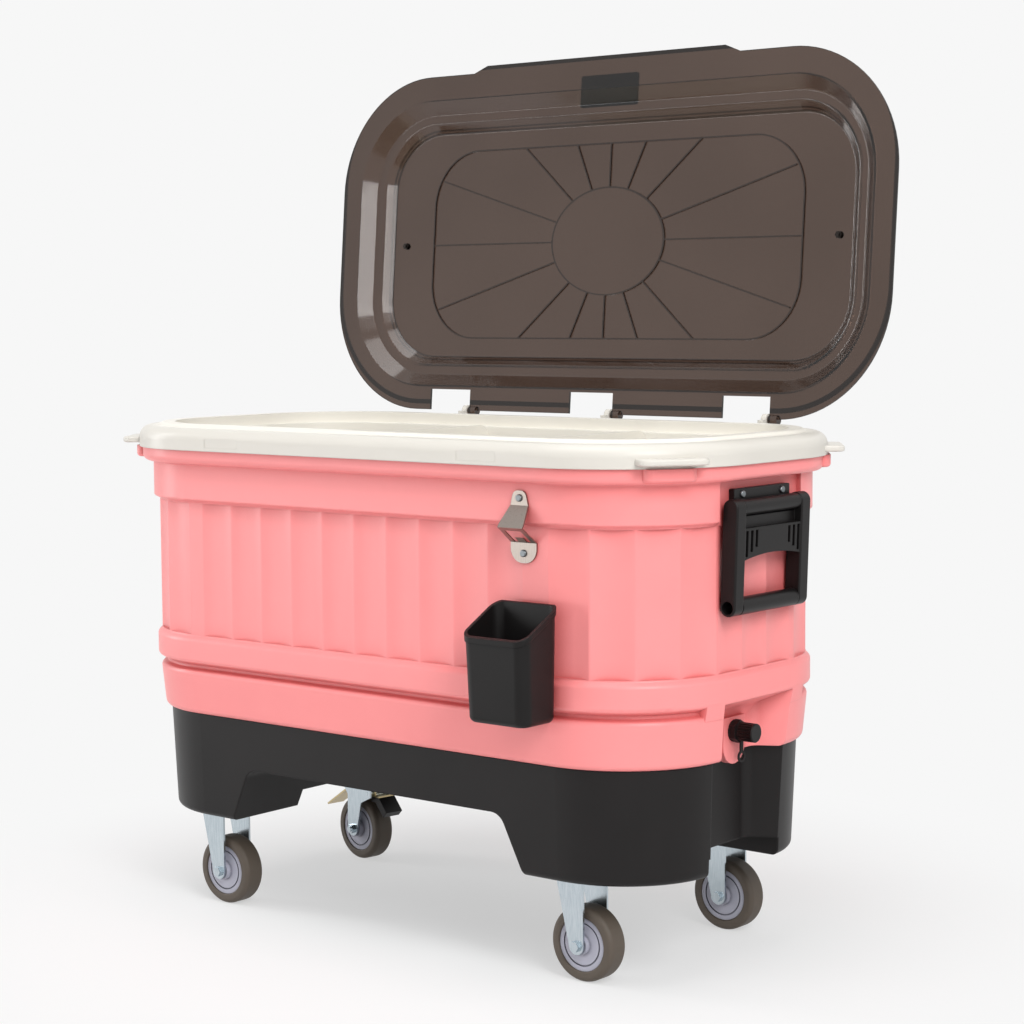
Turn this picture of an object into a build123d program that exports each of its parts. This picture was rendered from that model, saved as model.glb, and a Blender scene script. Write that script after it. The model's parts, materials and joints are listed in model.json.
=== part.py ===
"""Party bar cooler on four swivel casters, with its lid open.

Millimetres. X runs along the cooler, Y to its back and Z up. The origin is on the floor, under the
middle of the tub.
"""
from build123d import *
from math import atan2, cos, degrees, hypot, radians, sin
import os

# Plan of the rim, which every wall follows at its own inset
rim_length = 984.0
rim_width = 500.0
rim_corner_radius = 180.0

# Heights of the stacked pieces
caster_height = 131.0
base_height = 145.0
shell_height = 366.5
rim_height = 33.5

# Clearances
part_gap = 0.4
seat_gap = 0.15
running_gap = 0.05

# Outer shell: insets from the rim's plan and heights of its zones
shell_wall = 4.5
flange_height = 19.5
flange_rounding = 9.0
band_inset = 19.0
band_height = 53.0
flute_inset = 27.0
bead_inset = 21.0
bead_height = 26.0
bead_slope = 6.0
groove_inset = 34.0
groove_height = 14.0
groove_slope = 4.0
groove_end = 108.0
lower_band_height = 64.0
lower_band_inset = 25.0
shell_foot_inset = 31.0
shell_foot_rounding = 8.0
soft_edge = 6.0
sharp_edge = 2.5

# Flutes of the shell wall
front_flute_pitch = 56.2
front_flute_depth = 3.8
front_flute_shift = -7.0
flute_land = 2.0
flute_end_margin = 1.5
flute_corner_margin = 24.0
corner_flute_angle = 21.0
corner_flute_count = 4
corner_flute_depth = 5.0
end_flute_pitch = 54.0
end_flute_count = 3
end_flute_shift = -6.0

# Foam and liner
liner_wall = 3.5
floor_foam = 10.0
cavity_floor_inset = 80.0
cavity_top_inset = 60.0
cavity_floor_rounding = 24.0
mouth_inset = 50.0
ledge_depth = 16.0
rim_rounding = 16.0
rim_skirt = 4.0
rim_step_inset = 27.0
rim_step_run = 5.0
rim_step_height = 4.0
rim_step_rounding = 2.5
lip_height = 14.0

# Ears at the rim's corners and pads on its front
ear_width = 88.0
ear_reach = 20.0
ear_angle = 35.0
ear_root = 14.0
ear_thickness = 8.0
ear_height = 4.5
ear_rounding = 12.0
ear_softness = 2.5
lobe_width = 68.0
lobe_reach = 3.0
lobe_height = 16.0
lobe_softness = 5.0
pad_width = 62.0
pad_height = 24.0
pad_depth = 0.5
pad_offset = 222.0

# Dividers and the ribs that hold them
divider_thickness = 4.0
divider_offset = 141.0
divider_shift = 18.0
divider_top_drop = 13.0
divider_rounding = 18.0
divider_side_gap = 1.0
divider_rib_thickness = 3.0
divider_rib_reach = 9.0
divider_rib_height = 330.0

# Lid, drawn closed and then swung open about its hinge
lid_overhang = 2.0
lid_corner_radius = 171.0
lid_open_angle = 94.8
lid_flange_width = 34.0
lid_flange_thickness = 3.5
lid_wall = 3.2
lid_step_rise = 19.0
lid_step_run = 18.0
lid_shelf = 14.0
lid_dome_rise = 15.0
lid_dome_run = 14.0
lid_edge_rounding = 1.2
lid_bend_rounding = 5.0
lid_lip_reach = 10.0
lid_lip_width = 426.0
lid_lip_slope = 25.0
hinge_setback = 12.0
hinge_pin_radius = 4.0
hinge_pin_length = 10.0
hinge_barrel_radius = 6.5
hinge_barrel_length = 14.0
hinge_knuckle_radius = 8.0
hinge_knuckle_width = 8.0
hinge_knuckle_drop = 20.0
notch_corner_margin = 46.0
notch_shift = 9.0
notch_width = 78.0
notch_depth = 31.0
lid_rib_width = 2.2
lid_rib_height = 2.2
lid_panel_end_margin = 161.0
lid_panel_side_margin = 109.5
lid_panel_rounding = 85.0
lid_boss_length = 204.0
lid_boss_width = 158.0
lid_rib_ends = (62.0, 160.0)
lid_corner_rib = (318.0, 98.0)
lid_screw_inset = 105.0
lid_screw_radius = 2.5
lid_screw_head_radius = 5.0
lid_screw_head_height = 2.8
lid_screw_tail = 2.0
lid_nut_radius = 5.2
lid_nut_height = 3.5
lid_plate_length = 102.0
lid_plate_width = 46.0
lid_plate_setback = 13.0
lid_plate_thickness = 3.0

# Base skirt with its four legs
base_wall = 4.0
base_top_inset = 38.5
base_foot_inset = 45.0
base_foot_rounding = 9.0
arch_height = 75.0
arch_top_inset = 270.0
arch_foot_inset = 235.0
arch_rounding = 22.0
leg_spacing = 156.0
end_arch_height = 24.0
end_recess_depth = 41.0
end_recess_width = 108.0
base_boss_radius = 11.0
base_boss_arch_margin = 62.0
base_boss_side_inset = 125.0
base_boss_rows = (-1, 0, 1)
base_screw_radius = 2.5
base_screw_head_radius = 6.0
base_screw_head_height = 3.5
base_screw_bite = 3.5

# Drain at the right end, in a recess of the shell
drain_height = 27.0
recess_depth = 41.0
recess_width = 100.0
recess_height = 54.0
recess_rounding = 16.0
recess_roof_rounding = 20.0
recess_side_slope = 0.6
recess_roof_slope = 0.45
drain_boss_width = 48.0
drain_boss_reach = 6.0
drain_boss_rise = 18.0
drain_boss_drop = 18.0
drain_tube_radius = 8.0
drain_bore_radius = 5.5
drain_tube_reach = 21.0
drain_gasket_thickness = 2.0
drain_gasket_radius = 14.0
drain_nut_radius = 15.0
drain_nut_thickness = 8.0
drain_cap_radius = 12.0
drain_cap_length = 21.0
drain_cap_face = 3.0
drain_cap_rounding = 1.5
drain_cap_grooves = 18
drain_cap_groove_radius = 1.0
tether_thickness = 2.0
tether_band = 3.0
tether_length = 28.0
tether_eye_radius = 7.5

# Swing handles, one at each end
handle_width = 164.0
handle_length = 132.0
handle_arm_width = 20.0
handle_arm_depth = 22.0
handle_web_thickness = 8.0
handle_web_height = 39.0
handle_web_drop = 25.0
handle_web_setback = 1.5
handle_back_panel = 3.0
handle_panel_gap = 1.5
handle_lean = 2.1
handle_softness = 2.2
handle_web_arch_rise = 6.0
handle_web_slot_count = 3
handle_web_border = 3.0
handle_web_slot_pitch = 10.5
handle_web_slot_width = 5.4
handle_web_slot_edge = 2.0
handle_web_slot_height = 32.0
handle_web_slot_step = 5.5
handle_web_slot_depth = 5.0
grip_radius = 11.0
grip_bore_radius = 8.0
handle_recess_width = 180.0
handle_recess_inset = 27.0
handle_recess_drop = 6.0
handle_standoff = 5.0
bracket_height = 38.0
bracket_thickness = 8.0
bracket_rise = 22.0
bracket_rounding = 2.0
bracket_tube_radius = 10.0
bracket_neck_height = 14.0
bracket_screw_spacing = 88.0
bracket_screw_rise = 15.0
handle_pin_radius = 4.0
handle_pin_bite = 14.0
handle_pivot_drop = 52.5

# Bottle opener and its screws
opener_offset = 277.0
opener_thickness = 2.5
opener_top = 29.5
opener_upper_flat = 18.0
opener_upper_run = 26.0
opener_lower_run = 20.0
opener_lower_flat = 25.0
opener_reach = 19.0
opener_neck_width = 18.0
opener_wide = 38.0
opener_foot_width = 40.0
opener_window_width = 26.0
opener_window_height = 15.0
opener_window_drop = 4.0
opener_foot_rounding = 18.0
opener_foot_screw_inset = 12.0
opener_tooth_width = 12.0
opener_tooth_height = 6.0
opener_shoulder = 4.0
opener_rounding = 8.5
opener_screw_inset = 9.0

# Pan head screws that hold small fittings to the shell
fitting_screw_radius = 2.2
fitting_screw_head_radius = 4.6
fitting_screw_head_height = 2.6
screw_head_softness = 0.6
fitting_screw_bite = 3.5

# Cap catcher bin and its hanger
bin_offset = 289.0
bin_foot_height = 60.0
bin_width = 98.0
bin_depth = 72.0
bin_foot_width = 92.0
bin_foot_depth = 66.0
bin_back_height = 142.0
bin_front_height = 104.0
bin_wall = 2.6
bin_rounding = 15.0
bin_foot_rounding = 8.0
bin_lip = 1.6
bin_lip_height = 7.0
hanger_width = 36.0
hanger_height = 62.0
hanger_thickness = 2.5
hanger_rise = 60.0
hanger_tongue_height = 34.0
hanger_screw_spacing = 22.0
hanger_screw_drop = 9.0
hanger_screw_head_radius = 4.0
hanger_screw_sink = 1.6
pocket_gap = 0.6
pocket_panel = 2.4
pocket_height = 60.0
pocket_side = 6.0
pocket_roof = 3.0

# Casters
caster_end_inset = 176.0
caster_side_inset = 95.0
caster_shift = -12.0
caster_trail = 16.0
caster_recess = 20.0
well_radius = 38.5
caster_turns = {"front_left": 0.0, "front_right": 0.0, "rear_right": 0.0, "rear_left": 171.0}
caster_plate_length = 56.0
caster_plate_width = 56.0
caster_plate_thickness = 3.5
caster_plate_rounding = 8.0
caster_hole_spacing_x = 37.0
caster_hole_spacing_y = 37.0
caster_bolt_radius = 3.5
caster_bolt_head_radius = 6.2
caster_bolt_head_height = 4.5
caster_nut_height = 5.0
caster_bolt_tail = 3.0
race_radius = 18.0
race_height = 11.0
kingpin_radius = 6.0
kingpin_head_radius = 10.0
kingpin_head_height = 5.0
wheel_radius = 47.5
tyre_width = 32.0
tyre_rounding = 7.0
tyre_seat_rounding = 2.0
hub_radius = 34.0
hub_width = 28.0
hub_core_width = 44.0
hub_groove_radius = 26.0
hub_groove_width = 2.0
hub_groove_depth = 2.0
hub_core_radius = 13.0
bush_radius = 7.0
axle_radius = 4.0
axle_head_radius = 7.0
axle_head_height = 5.0
axle_tail = 2.0
fork_plate = 3.0
fork_side_gap = 7.0
fork_panel_width = 22.0
fork_crown_reach = 16.0
fork_crown_radius = 20.0
bush_end_gap = 0.5

# Brake on the rear left caster
braked_caster = "rear_left"
brake_width = 30.0
brake_thickness = 2.5
brake_pin_radius = 3.0
brake_pin_drop = 30.0
brake_pin_setback = 19.0
brake_arm_drop = 36.0
brake_fork_reach = 27.0
brake_fork_low = 36.0
brake_fork_slope = 20.0
brake_lug_reach = 20.0
brake_lug_gap = 0.6
brake_lug_height = 7.0
brake_lug_slope = 24.0
brake_arm_reach = 46.0
brake_ear_thickness = 3.0
brake_ear_length = 12.0
brake_flap_length = 53.0
brake_flap_angle = 32.5
brake_heel = 16.0
brake_tab_length = 18.0
brake_tab_drop = 20.0
brake_tab_thickness = 8.0

# Levels that follow from the heights
base_top = caster_height + base_height
shell_top = base_top + shell_height
rim_top = shell_top + rim_height
flange_bottom = shell_top - flange_height
lip_top = shell_top + lip_height
flute_top = flange_bottom - band_height
lower_band_top = base_top + lower_band_height
bead_bottom = lower_band_top + groove_height
bead_top = bead_bottom + bead_height
flute_bottom = bead_top + bead_slope
cavity_floor = base_top + shell_wall + floor_foam + liner_wall
ledge_level = rim_top - ledge_depth
plate_top = caster_height + caster_recess
fork_top = plate_top - caster_plate_thickness - race_height - part_gap

# Places that follow from the plan
corner_x = rim_length / 2 - rim_corner_radius
front_flute_count = int(2 * (corner_x - flute_corner_margin) // front_flute_pitch)
corner_y = rim_width / 2 - rim_corner_radius
flange_inset = rim_skirt + part_gap
flute_front = -rim_width / 2 + flute_inset
band_front = -rim_width / 2 + band_inset
bracket_wall = rim_length / 2 - handle_recess_inset
lid_length = rim_length + 2 * lid_overhang
lid_width = rim_width + 2 * lid_overhang
lid_panel_length = lid_length - 2 * lid_panel_end_margin
lid_panel_width = lid_width - 2 * lid_panel_side_margin
lid_screw_offset = lid_length / 2 - lid_screw_inset
notch_pitch = corner_x - notch_corner_margin
hinge_y = rim_width / 2 + hinge_setback
lid_base = rim_top + part_gap
hinge_z = lid_base + lid_flange_thickness / 2
drain_z = base_top + drain_height
recess_face = rim_length / 2 - recess_depth - lower_band_inset
drain_face = recess_face + drain_boss_reach
drain_start = rim_length / 2 - cavity_floor_inset - cavity_floor_rounding
drain_nut_start = drain_face + drain_gasket_thickness
drain_tether_start = drain_nut_start + drain_nut_thickness
drain_cap_start = drain_tether_start + tether_thickness + part_gap
pivot_x = bracket_wall + handle_standoff + handle_arm_depth / 2
pivot_z = shell_top - handle_pivot_drop
handle_back = pivot_x - handle_arm_depth / 2
handle_inner = handle_width / 2 - handle_arm_width
handle_low = pivot_z - handle_length + handle_arm_depth / 2
grip_x = handle_back + handle_arm_depth / 2
opener_head = shell_top - opener_top
bin_foot = base_top + bin_foot_height
divider_places = (divider_shift - divider_offset, divider_shift + divider_offset)
hanger_foot = bin_foot + hanger_rise
tongue_front = flute_front - 2 * hanger_thickness - pocket_panel - 2 * pocket_gap
bin_back = tongue_front - pocket_gap
brake_pin_z = fork_top - brake_pin_drop
notch_centres = (notch_shift - notch_pitch, notch_shift, notch_shift + notch_pitch)
caster_x = rim_length / 2 - caster_end_inset
caster_y = rim_width / 2 - caster_side_inset
caster_places = {
    "front_left": (caster_shift - caster_x, -caster_y),
    "front_right": (caster_shift + caster_x, -caster_y),
    "rear_right": (caster_shift + caster_x, caster_y),
    "rear_left": (caster_shift - caster_x, caster_y),
}


# Shapes used by several pieces

def section(corners):
    """Upright face in XZ through (out, height, rounding) corners."""
    face = make_face(Polyline(*[(out, height) for out, height, _ in corners], close=True))
    for out, height, rounding in corners:
        if rounding > 0:
            corner = face.vertices().sort_by_distance((out, height, 0))[0]
            face = fillet(corner, rounding)
    return Plane.XZ * face


def follow_plan(face, length, width, radius):
    """Solid with the face as its edge section all round a rounded rectangle.

    The face starts on the corner's axis, at out = 0.
    """
    reach_x = length / 2 - radius
    reach_y = width / 2 - radius
    box = face.bounding_box()
    height = box.max.Z - box.min.Z
    solid = Pos(0, 0, box.min.Z + height / 2) * Box(2 * reach_x, 2 * reach_y, height)
    corner = revolve(face, Axis.Z, 90)
    end = Pos(reach_x, -reach_y) * extrude(face, 2 * reach_y, dir=(0, 1, 0))
    side = Pos(reach_x, reach_y) * Rot(0, 0, 90) * extrude(face, 2 * reach_x, dir=(0, 1, 0))
    quarter_places = ((1, 1, 0), (-1, 1, 90), (-1, -1, 180), (1, -1, 270))
    pieces = [Pos(sx * reach_x, sy * reach_y) * Rot(0, 0, turn) * corner for sx, sy, turn in quarter_places]
    pieces += [end, Rot(0, 0, 180) * end, side, Rot(0, 0, 180) * side]
    return solid + pieces


def follow_rim(corners):
    """Solid round the rim's plan, through (inset, height, rounding) corners of its edge."""
    bottom = corners[0][1]
    top = corners[-1][1]
    edge = [(rim_corner_radius - inset, height, rounding) for inset, height, rounding in corners]
    face = section([(0, bottom, 0)] + edge + [(0, top, 0)])
    return follow_plan(face, rim_length, rim_width, rim_corner_radius)


def post(radius, length, place, axis="Z"):
    """Round bar that starts at the place and runs along the axis."""
    turn = {"X": Rot(0, 90, 0), "Y": Rot(-90, 0, 0), "Z": Rot(0, 0, 0)}[axis]
    align = (Align.CENTER, Align.CENTER, Align.MIN)
    return Pos(*place) * turn * Cylinder(radius, length, align=align)


def hex_bar(radius, length, place, axis="Z"):
    """Hexagonal bar that starts at the place and runs along the axis."""
    turn = {"X": Rot(0, 90, 0), "Y": Rot(-90, 0, 0), "Z": Rot(0, 0, 0)}[axis]
    return Pos(*place) * turn * extrude(RegularPolygon(radius, 6), length)


def block(x, y, z):
    """Box between pairs of limits."""
    size = (x[1] - x[0], y[1] - y[0], z[1] - z[0])
    middle = ((x[0] + x[1]) / 2, (y[0] + y[1]) / 2, (z[0] + z[1]) / 2)
    return Pos(*middle) * Box(*size)


def pan_screw(place, turn, grip):
    """Pan head screw that holds a fitting of the grip's thickness to the shell; its head is at the place."""
    head = post(fitting_screw_head_radius, fitting_screw_head_height, (0, 0, 0))
    head = fillet(head.edges().group_by(Axis.Z)[-1], fitting_screw_head_height * screw_head_softness)
    length = grip + fitting_screw_bite
    return Pos(*place) * turn * (head + post(fitting_screw_radius, length, (0, 0, -length)))


def screw_hole(place, turn, grip):
    """Cut for the shank of a fitting's screw."""
    length = grip + fitting_screw_bite + running_gap
    return Pos(*place) * turn * post(fitting_screw_radius + running_gap, length, (0, 0, -length))


# Outer shell

def shell_inside(gap):
    """Room inside the shell, less a gap."""
    lower = groove_inset + shell_wall + gap
    middle = flute_inset + max(front_flute_depth, corner_flute_depth) + shell_wall + gap
    upper = band_inset + shell_wall + gap
    floor = base_top + shell_wall + gap
    shelf = flange_bottom + shell_wall + gap
    lip = flange_inset + shell_wall + gap
    room = follow_rim([
        (lower, floor, 0),
        (lower, flute_bottom + gap, 0),
        (middle, flute_bottom + bead_slope + gap, 0),
        (middle, flute_top + gap, 0),
        (upper, flute_top + bead_slope + gap, 0),
        (upper, shelf, 0),
        (lip, shelf, 0),
        (lip, lip_top - gap, 0),
    ])
    return room - drain_recess(shell_wall + gap) - handle_recesses(shell_wall + gap)


def drain_recess(grow):
    """Cut for the drain recess at the right end, with sloped sides and roof, grown on its closed sides."""
    face = recess_face - grow
    outside = rim_length / 2 + shell_wall
    low = base_top - grow
    high = base_top + recess_height + grow
    steep = high + recess_roof_slope * (outside - face)
    side = make_face(Polyline((face, low), (outside, low), (outside, steep), (face, high), close=True))
    side = fillet(side.vertices().group_by(Axis.X)[0].sort_by(Axis.Y)[-1], recess_roof_rounding + grow)
    cut = extrude(Plane.XZ * side, rim_width, both=True)
    return cut & end_scoop(face, recess_width / 2 + grow, low, steep)


def end_scoop(face, half, low, high):
    """Upright hollow at the right end, half so wide at its face, with sides that slope outward."""
    outside = rim_length / 2 + shell_wall
    flare = half + recess_side_slope * (outside - face)
    plan = make_face(Polyline((face, -half), (outside, -flare), (outside, flare), (face, half), close=True))
    plan = fillet(plan.vertices().group_by(Axis.X)[0], recess_rounding)
    return Pos(0, 0, low) * extrude(plan, high - low)


def handle_recesses(grow):
    """Cuts in the upper band behind the handles, grown on their closed sides."""
    half = handle_recess_width / 2 + grow
    outside = rim_length / 2 + shell_wall
    z = (flute_top - handle_recess_drop - grow, flange_bottom + grow)
    right = block((bracket_wall - grow, outside), (-half, half), z)
    return [right, Rot(0, 0, 180) * right]


def flute(width, depth, wall_radius=0.0):
    """Cutter for one hollow flute whose wall faces +X at x = 0, flat or round about -wall_radius."""
    half = (width - flute_land) / 2
    bulge = half * half / (2 * wall_radius) if wall_radius else 0.0
    sag = depth - bulge
    radius = (half * half + sag * sag) / (2 * sag)
    height = flute_top - flute_bottom - 2 * flute_end_margin
    return post(radius, height, (radius - depth, 0, flute_bottom + flute_end_margin))


def shell_flutes():
    """Cutters for all the flutes round the shell."""
    cutters = []
    for i in range(front_flute_count):
        x = front_flute_shift + (i - (front_flute_count - 1) / 2) * front_flute_pitch
        cutters.append(Pos(x, flute_front) * Rot(0, 0, -90) * flute(front_flute_pitch, front_flute_depth))
    wall_radius = rim_corner_radius - flute_inset
    chord = 2 * wall_radius * sin(radians(corner_flute_angle / 2))
    for i in range(corner_flute_count):
        angle = -90 + (i + 0.5) * corner_flute_angle
        scoop = Rot(0, 0, angle) * Pos(wall_radius) * flute(chord, corner_flute_depth, wall_radius)
        cutters.append(Pos(corner_x, -corner_y) * scoop)
        cutters.append(Pos(-corner_x, -corner_y) * mirror(scoop, Plane.YZ))
    end_wall = rim_length / 2 - flute_inset
    for i in range(end_flute_count):
        y = end_flute_shift + (i - (end_flute_count - 1) / 2) * end_flute_pitch
        cutters.append(Pos(end_wall, y) * flute(end_flute_pitch, front_flute_depth))
    back = [Rot(0, 0, 180) * cutter for cutter in cutters]
    return cutters + back


def ear_places():
    """Centres of the four rim corners and the direction each ear points."""
    return [
        (corner_x, corner_y, ear_angle),
        (-corner_x, corner_y, 180 - ear_angle),
        (-corner_x, -corner_y, 180 + ear_angle),
        (corner_x, -corner_y, 360 - ear_angle),
    ]


def shell_lobes():
    """Swellings of the flange under the rim's ears."""
    radius = rim_corner_radius
    lobe = block((radius - band_inset - shell_wall, radius + lobe_reach), (-lobe_width / 2, lobe_width / 2),
                 (shell_top - lobe_height, shell_top))
    lobe = fillet(lobe.edges().filter_by(Axis.Z).group_by(Axis.X)[-1], ear_rounding)
    lobe = fillet(lobe.edges().group_by(Axis.Z)[0].sort_by(Axis.X)[-3:], lobe_softness)
    return [Pos(x, y) * Rot(0, 0, turn) * lobe for x, y, turn in ear_places()]


def outer_shell():
    wall = follow_rim([
        (shell_foot_inset, base_top, shell_foot_rounding),
        (lower_band_inset, lower_band_top - groove_slope, soft_edge),
        (groove_inset, lower_band_top, sharp_edge),
        (groove_inset, bead_bottom - groove_slope - bead_slope, 0),
        (bead_inset, bead_bottom - groove_slope, soft_edge),
        (bead_inset, bead_top, soft_edge),
        (flute_inset, flute_bottom, sharp_edge),
        (flute_inset, flute_top, sharp_edge),
        (band_inset, flute_top + groove_slope, sharp_edge),
        (band_inset, flange_bottom, sharp_edge),
        (flange_inset, flange_bottom, flange_rounding),
        (flange_inset, lip_top, 0),
    ])
    plain = follow_rim([
        (lower_band_inset, lower_band_top - 2 * groove_slope, 0),
        (bead_inset, bead_bottom, 0),
    ])
    bridge = plain & block((0, rim_length), (-groove_end, groove_end), (base_top, bead_bottom))
    wall = wall + bridge + shell_lobes() - shell_flutes() - drain_recess(0) - handle_recesses(0)
    half = drain_boss_width / 2
    back = recess_face - shell_wall
    low = drain_z - drain_boss_drop
    boss = block((back, drain_face), (-half, half), (low, drain_z + drain_boss_rise))
    boss = boss + post(half, drain_face - back, (back, 0, low), "X")
    solid = wall - shell_inside(0) + boss
    solid = solid - drain_hole()
    for x, y in base_screw_places():
        solid = solid - post(base_screw_radius + running_gap, base_screw_bite, (x, y, base_top))
    for place, turn, grip in fitting_screw_places() + hanger_screw_places():
        solid = solid - screw_hole(place, turn, grip)
    return solid


# Liner with its rim, ears and hinge knuckles

def liner_room(grow):
    """Inside of the liner, grown by a wall."""
    return follow_rim([
        (cavity_floor_inset - grow, cavity_floor - grow, cavity_floor_rounding + grow),
        (cavity_top_inset - grow, ledge_level - grow, 0),
        (mouth_inset - grow, ledge_level - grow, 0),
        (mouth_inset - grow, rim_top, 0),
    ])


def rim_channel():
    """Hollow under the rim, between its skirt and the liner's wall."""
    roof = rim_top - rim_step_height - rim_skirt
    outside = follow_rim([(rim_skirt, shell_top, 0), (rim_skirt, roof, rim_rounding - rim_skirt)])
    return outside - liner_room(liner_wall)


def rim_ears():
    ears = []
    radius = rim_corner_radius
    for x, y, angle in ear_places():
        level = shell_top + ear_height
        ear = block((radius - ear_root, radius + ear_reach), (-ear_width / 2, ear_width / 2),
                    (level, level + ear_thickness))
        ear = fillet(ear.edges().filter_by(Axis.Z).group_by(Axis.X)[-1], ear_rounding)
        for side in (0, -1):
            ear = fillet(ear.edges().group_by(Axis.Z)[side].sort_by(Axis.X)[1:], ear_softness)
        ears.append(Pos(x, y) * Rot(0, 0, angle) * ear)
    return ears


def hinge_knuckles():
    knuckles = []
    for centre in notch_centres:
        start = centre + notch_width / 2 - hinge_pin_length + part_gap
        eye = post(hinge_knuckle_radius, hinge_knuckle_width, (start, hinge_y, hinge_z), "X")
        foot = block((start, start + hinge_knuckle_width), (rim_width / 2 - rim_skirt, hinge_y),
                     (hinge_z - hinge_knuckle_drop, hinge_z))
        hole = post(hinge_pin_radius + running_gap, hinge_knuckle_width, (start, hinge_y, hinge_z), "X")
        knuckles.append(eye + foot - hole)
    return knuckles


def divider_ribs():
    """Upright ribs on the liner's long walls, one each side of each divider."""
    ribs = []
    inside = rim_width / 2 - cavity_floor_inset - divider_rib_reach
    outside = rim_width / 2 - cavity_top_inset + liner_wall / 2
    offset = divider_thickness / 2 + part_gap
    for x in divider_places:
        for start in (x - offset - divider_rib_thickness, x + offset):
            for low, high in ((-outside, -inside), (inside, outside)):
                ribs.append(block((start, start + divider_rib_thickness), (low, high),
                                  (cavity_floor - liner_wall / 2, cavity_floor + divider_rib_height)))
    return ribs


def liner_tub():
    shoulder = rim_top - rim_step_height
    rim = follow_rim([
        (0, shell_top, 0),
        (0, shoulder, rim_rounding),
        (rim_step_inset, shoulder, rim_step_rounding),
        (rim_step_inset + rim_step_run, rim_top, rim_step_rounding),
    ])
    solid = rim + liner_room(liner_wall) + rim_ears()
    ribs = [rib & liner_room(liner_wall / 2) for rib in divider_ribs()]
    solid = solid - rim_channel() - liner_room(0) + ribs + hinge_knuckles()
    for x in (-pad_offset, pad_offset):
        middle = shell_top + rim_height / 2
        solid = solid - block((x - pad_width / 2, x + pad_width / 2),
                              (-rim_width / 2 - pad_depth, -rim_width / 2 + pad_depth),
                              (middle - pad_height / 2, middle + pad_height / 2))
    return solid - drain_hole()


def foam_insulation():
    solid = shell_inside(seat_gap) - liner_room(liner_wall + seat_gap)
    return solid - drain_hole()


def divider(x):
    """Removable panel across the tub."""
    low = cavity_floor + part_gap
    high = rim_top - divider_top_drop
    draft = (cavity_floor_inset - cavity_top_inset) / (ledge_level - cavity_floor)
    foot = rim_width / 2 - cavity_floor_inset - divider_side_gap
    head = foot + draft * (high - low)
    outline = make_face(Polyline((-foot, low), (foot, low), (head, high), (-head, high), close=True))
    outline = fillet(outline.vertices().group_by(Axis.Y)[-1], divider_rounding)
    outline = fillet(outline.vertices().group_by(Axis.Y)[0], cavity_floor_rounding)
    return Pos(x - divider_thickness / 2) * extrude(Plane.YZ * outline, divider_thickness)


# Lid

def lid_shape():
    """Lid wall, drawn closed."""
    shelf = lid_flange_width + lid_step_run
    panel = shelf + lid_shelf + lid_dome_run
    top = lid_base + lid_flange_thickness
    radius = lid_corner_radius
    outside = section([
        (0, lid_base, 0),
        (radius, lid_base, 0),
        (radius, top, lid_edge_rounding),
        (radius - lid_flange_width, top, lid_bend_rounding),
        (radius - shelf, top + lid_step_rise, lid_bend_rounding),
        (radius - shelf - lid_shelf, top + lid_step_rise, lid_bend_rounding),
        (radius - panel, top + lid_step_rise + lid_dome_rise, lid_bend_rounding),
        (0, top + lid_step_rise + lid_dome_rise, 0),
    ])
    drop = top - lid_wall
    inside = section([
        (0, lid_base, 0),
        (radius - lid_flange_width - lid_wall, lid_base, 0),
        (radius - shelf - lid_wall, drop + lid_step_rise, lid_bend_rounding),
        (radius - shelf - lid_shelf - lid_wall, drop + lid_step_rise, lid_bend_rounding),
        (radius - panel - lid_wall, drop + lid_step_rise + lid_dome_rise, lid_bend_rounding),
        (0, drop + lid_step_rise + lid_dome_rise, 0),
    ])
    centre = Pos(0, hinge_y - lid_width / 2)
    return centre * (follow_plan(outside, lid_length, lid_width, radius)
                     - follow_plan(inside, lid_length, lid_width, radius))


def lid_ribs():
    """Spokes, frame line and centre boss on the lid's underside."""
    underside = lid_base + lid_flange_thickness - lid_wall + lid_step_rise + lid_dome_rise
    level = underside - lid_rib_height
    height = lid_rib_height + lid_wall / 2
    ring = RectangleRounded(lid_panel_length, lid_panel_width, lid_panel_rounding)
    ring -= RectangleRounded(lid_panel_length - 2 * lid_rib_width, lid_panel_width - 2 * lid_rib_width,
                             lid_panel_rounding - lid_rib_width)
    boss = Ellipse(lid_boss_length / 2, lid_boss_width / 2)
    ends = [(lid_panel_length / 2, 0), (-lid_panel_length / 2, 0)]
    ends += [(0, lid_panel_width / 2), (0, -lid_panel_width / 2)]
    for side_x in (-1, 1):
        for side_y in (-1, 1):
            ends += [(side_x * x, side_y * lid_panel_width / 2) for x in lid_rib_ends]
            ends.append((side_x * lid_corner_rib[0], side_y * lid_corner_rib[1]))
    flat = ring + boss
    for x, y in ends:
        length = hypot(x, y) - lid_rib_width / 2
        spoke = Pos(length / 2) * Rectangle(length, lid_rib_width)
        flat += Rot(0, 0, degrees(atan2(y, x))) * spoke
    return Pos(0, hinge_y - lid_width / 2, level) * extrude(flat, height)


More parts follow.
